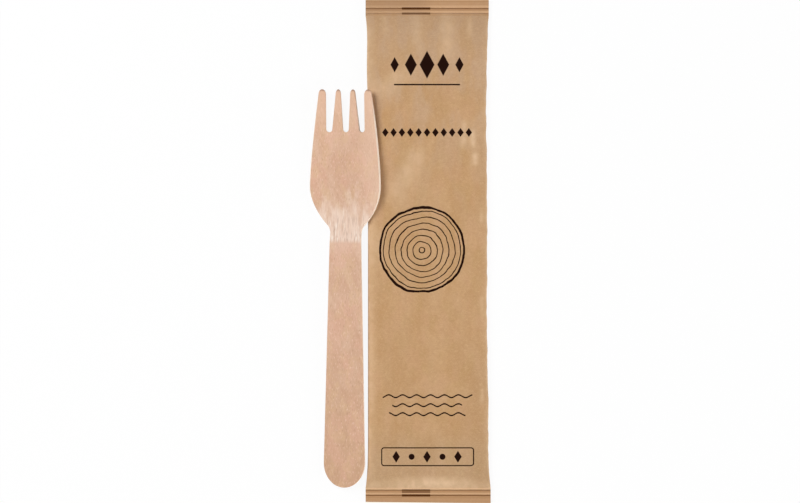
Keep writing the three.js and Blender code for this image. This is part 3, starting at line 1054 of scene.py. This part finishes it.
def emblem(paint, place, lozenges, boxes):
    """A crest of lozenges over a rule."""
    reach = (len(EMBLEM_SHARES) - 1) / 2 * EMBLEM_PITCH
    shapes = []
    for k, share in enumerate(EMBLEM_SHARES):
        size = {"Half Size": (EMBLEM_LOZENGE[0] * share, EMBLEM_LOZENGE[1] * share, 1)}
        middle = (k * EMBLEM_PITCH - reach, EMBLEM_Y, 0)
        shapes.append(paint.group(lozenges, {"Place": place, "Middle": middle, **size}))
    rule = {"Straight": (reach, 0, 0), "Corner": RULE_LINE / 2}
    shapes.append(paint.group(boxes, {"Place": place, "Middle": (0, EMBLEM_Y - RULE_DROP, 0), **rule}))
    return paint.either(shapes)


def border(paint, place, lozenges):
    """A row of equal lozenges."""
    reach = BORDER_LOZENGES * BORDER_PITCH / 2
    tile = (BORDER_PITCH / 2, PACK_LENGTH, 1)
    low = [-side for side in tile]
    wrapped = paint.node("VectorMath", {0: place, 1: tile, 2: low}, operation="WRAP")
    shape = {"Middle": (0, BORDER_Y, 0), "Half Size": (*BORDER_LOZENGE, 1)}
    row = paint.group(lozenges, {"Place": wrapped, **shape})
    return paint.times(row, paint.between(paint.split(place)[0], -reach, reach))


def growth_rings(paint, place, fibres):
    """The rings of a cut log, inside a thicker line of bark."""
    sizes = {"Width": RING_WOBBLE_SIZE, "Length": RING_WOBBLE_SIZE, "Seed": RING_WOBBLE_SEED}
    wobble = paint.minus(paint.group(fibres, {"Place": place, **sizes}), 0.5)
    centred = paint.vector("SUBTRACT", place, (*RINGS_MIDDLE, 0))
    radius = paint.plus(paint.length(centred), paint.times(wobble, RING_WOBBLE))
    share = paint.math("FRACT", paint.math("DIVIDE", radius, RING_PITCH))
    from_ring = paint.times(paint.distance(share, 0.5), RING_PITCH)
    rings = paint.times(paint.below(from_ring, RING_LINE / 2), paint.below(radius, RINGS_RADIUS))
    bark = paint.below(paint.distance(radius, RINGS_RADIUS), BARK_LINE / 2)
    return paint.either([rings, bark])


def waves(paint, place):
    """Wavy lines under each other, like the grain of a board."""
    across, along = paint.split(place)[:2]
    swing = paint.math("SINE", paint.times(across, 2 * math.pi / WAVE_LENGTH))
    level = paint.minus(along, paint.times(swing, WAVE_HEIGHT))
    shapes = []
    for middle, reach in zip(WAVES_Y, WAVES_HALF_LENGTH):
        line = paint.below(paint.distance(level, middle), WAVE_LINE / 2)
        shapes.append(paint.times(line, paint.between(across, -reach, reach)))
    return paint.either(shapes)


def panel(paint, place, lozenges, boxes):
    """A framed row of dots and lozenges."""
    straight = [side / 2 - PANEL_CORNER for side in PANEL_SIZE]
    edge = {"Straight": (*straight, 0), "Corner": PANEL_CORNER, "Line": PANEL_LINE}
    shapes = [paint.group(boxes, {"Place": place, "Middle": (0, PANEL_Y, 0), **edge}, output=1)]
    for k in range(-PANEL_SIDE_MARKS, PANEL_SIDE_MARKS + 1):
        centre = {"Place": place, "Middle": (k * PANEL_PITCH, PANEL_Y, 0)}
        if k % 2:
            shapes.append(paint.group(boxes, {**centre, "Straight": (0, 0, 0), "Corner": PANEL_DOT}))
        else:
            shapes.append(paint.group(lozenges, {**centre, "Half Size": (*PANEL_LOZENGE, 1)}))
    return paint.either(shapes)


def paint_pulp(paint, fibres, across, along):
    """Bare kraft paper: soft patches, greyer towards the upper end with painted pale sheen there, dimmer at
    the lower end, painted shade at both ends of its right side, with crossing fibres and dark specks."""
    paint.base(paint.fibres(fibres, *KRAFT_MOTTLING), KRAFT_TONES)
    paint.fibre_layers(fibres, KRAFT_PATCHES)
    # Painted sheen patches, most towards the upper end
    paint.fibre_layers(fibres, KRAFT_SHEEN_PATCHES, paint.ramp(along, *SHEEN_PATCH_REACH, SHEEN_PATCH_LEAST))
    paint.layer(paint.ramp(along, *UPPER_END_REACH), *UPPER_END_TINT)
    paint.layer(paint.ramp(along, *LOWER_END_REACH), *LOWER_END_TINT)
    # Painted shade at both ends of the right side
    from_middle = paint.distance(along, RIGHT_ENDS_SHADE_MIDDLE)
    right_ends_shade = paint.ramp(from_middle, *RIGHT_ENDS_SHADE_FROM_MIDDLE)
    paint.layer(paint.times(paint.ramp(across, *RIGHT_ENDS_SHADE_ACROSS), right_ends_shade), *RIGHT_ENDS_SHADE_TINT)
    paint.fibre_layers(fibres, KRAFT_FIBRES)


def paint_wear_and_highlights(paint, fibres):
    """Pale patches where folds, creases and bends are rubbed, and painted highlights on them."""
    rub_and_highlight = paint.node("Attribute", output=2, attribute_name="rub_and_highlight")
    patchy = paint.ramp(paint.fibres(fibres, *KRAFT_WEAR_AND_HIGHLIGHT), 0.0, 1.0, WEAR_AND_HIGHLIGHT_LEAST)
    paint.layer(paint.math("MINIMUM", paint.times(rub_and_highlight, patchy), WEAR_AND_HIGHLIGHT_MOST), *WEAR_AND_HIGHLIGHT_TINT)


def paint_seals(paint, across, along):
    """Seals browned by the hot jaws, most in the upper left, with the marks of their crimp lines, among them
    painted highlights and shade.
    """
    inner = {end: crimp_line(end, 1) for end in (1, -1)}
    upper, lower = [paint.ramp(along, line, line + end * SEAL_BLUR) for end, line in inner.items()]
    paint.layer(paint.either([upper, lower]), *SEAL_TINT)
    lit_lips, lines, shaded_strips, bars = seal_marks(paint, across, along)
    # Painted highlight on the lips, painted shade on the strips
    paint.layer(lit_lips, *LIP_HIGHLIGHT_TINT)
    paint.layer(shaded_strips, *STRIP_SHADE_TINT)
    paint.layer(paint.times(upper, paint.ramp(across, *UPPER_LEFT_ACROSS)), *UPPER_LEFT_TINT)
    # Brown crimp lines with painted shade in their grooves
    paint.layer(lines, *LINE_TINT_AND_SHADE)
    paint.layer(bars, *BAR_TINT)


def paint_fin(paint, across, back):
    """The fin along the back, with the shaded step of its free edge."""
    paint.layer(paint.times(paint.between(across, FIN_LEFT, FIN_RIGHT), back), *FIN_TINT)
    step = paint.between(across, FIN_LEFT - FIN_SHADE, FIN_LEFT)
    paint.layer(paint.times(step, back), *FIN_SHADE_TINT)


def paint_print(paint, fibres, place, front):
    """One dark ink on the front panel."""
    lozenges, boxes = lozenge_group(), box_group()
    ink = paint.either([
        emblem(paint, place, lozenges, boxes),
        border(paint, place, lozenges),
        growth_rings(paint, place, fibres),
        waves(paint, place),
        panel(paint, place, lozenges, boxes),
    ])
    paint.layer(paint.times(ink, front), 1.0, INK)


def kraft_material(fibres):
    """Printed kraft paper, rubbed pale and painted with highlights at its folds, browned at its seals, with
    painted sheen, highlights and shade in places.
    """
    material, paint, surface = new_material("kraft")
    across, along, side = paint.split(paint.place())
    front = paint.ramp(side, *FRONT_SIDE)
    paint_pulp(paint, fibres, across, along)
    paint_wear_and_highlights(paint, fibres)
    paint_seals(paint, across, along)
    paint_fin(paint, across, paint.minus(1.0, front))
    paint_print(paint, fibres, paint.node("CombineXYZ", {0: across, 1: along}), front)
    paint.matte(surface, paint.fibres(fibres, *KRAFT_TOOTH), **KRAFT_FINISH)
    return material


def seen_directly(paint):
    """1 for the rays that show a surface to the camera, straight or in a reflection, and 0 for its light."""
    path = paint.tree.nodes.new("ShaderNodeLightPath").outputs
    return paint.either([path[f"Is {kind} Ray"] for kind in ("Camera", "Glossy", "Transmission")])


def make_floor():
    """A pale floor that looks white and keeps a soft shadow."""
    deselect()
    bpy.ops.mesh.primitive_plane_add(size=FLOOR_SIZE, location=(0, 0, -FLOOR_DROP))
    floor = bpy.context.object
    floor.name = "floor"
    material, paint, surface = new_material("white_floor")
    paint.tree.nodes.remove(surface)
    matte = paint.node("BsdfDiffuse", {"Color": FLOOR_COLOUR})
    glow = paint.node("Emission", {"Color": WHITE, "Strength": 1.0})
    share = paint.times(seen_directly(paint), FLOOR_GLOW)
    shown = paint.node("MixShader", {0: share, 1: matte, 2: glow})
    paint.tree.links.new(shown, paint.tree.nodes["Material Output"].inputs["Surface"])
    floor.data.materials.append(material)


def make_world():
    """White where it is seen, dim as a light."""
    world = bpy.data.worlds.new("white_studio")
    bpy.context.scene.world = world
    world.use_nodes = True
    paint = Paint(world.node_tree)
    background = world.node_tree.nodes["Background"]
    background.inputs["Color"].default_value = WHITE
    strength = paint.ramp(seen_directly(paint), 0.0, 1.0, WORLD_LIGHT)
    paint.tree.links.new(strength, background.inputs["Strength"])


def make_lamp(name, place, size, power):
    """A square lamp that faces the middle of the pack."""
    deselect()
    bpy.ops.object.light_add(type="AREA", location=place)
    lamp = bpy.context.object
    lamp.name = name
    lamp.data.size = size
    lamp.data.energy = power
    lamp.rotation_mode = "QUATERNION"
    lamp.rotation_quaternion = (-Vector(place)).to_track_quat("-Z", "Y")


def make_camera():
    """Looks straight down, with the photograph's frame on the plane that the pack lies on."""
    deselect()
    bpy.ops.object.camera_add()
    camera = bpy.context.object
    camera.data.lens = CAMERA_LENS
    camera.data.sensor_width = SENSOR_WIDTH
    camera.data.clip_start = CLIP_START
    middle_x, middle_y = PHOTO_WIDTH / 2 - MIDDLE_PIXEL[0], MIDDLE_PIXEL[1] - PHOTO_HEIGHT / 2
    height = PHOTO_WIDTH * CAMERA_LENS / SENSOR_WIDTH
    camera.location = PIXEL * MM * Vector((middle_x, middle_y, height))
    bpy.context.scene.camera = camera


fibres = fibre_group()
make_fork(birch_material(fibres))
make_pack(kraft_material(fibres))
make_floor()
make_world()
for name, (place, size, power) in LAMPS.items():
    make_lamp(name, place, size, power)
make_camera()
bpy.context.scene.view_settings.view_transform = "Standard"
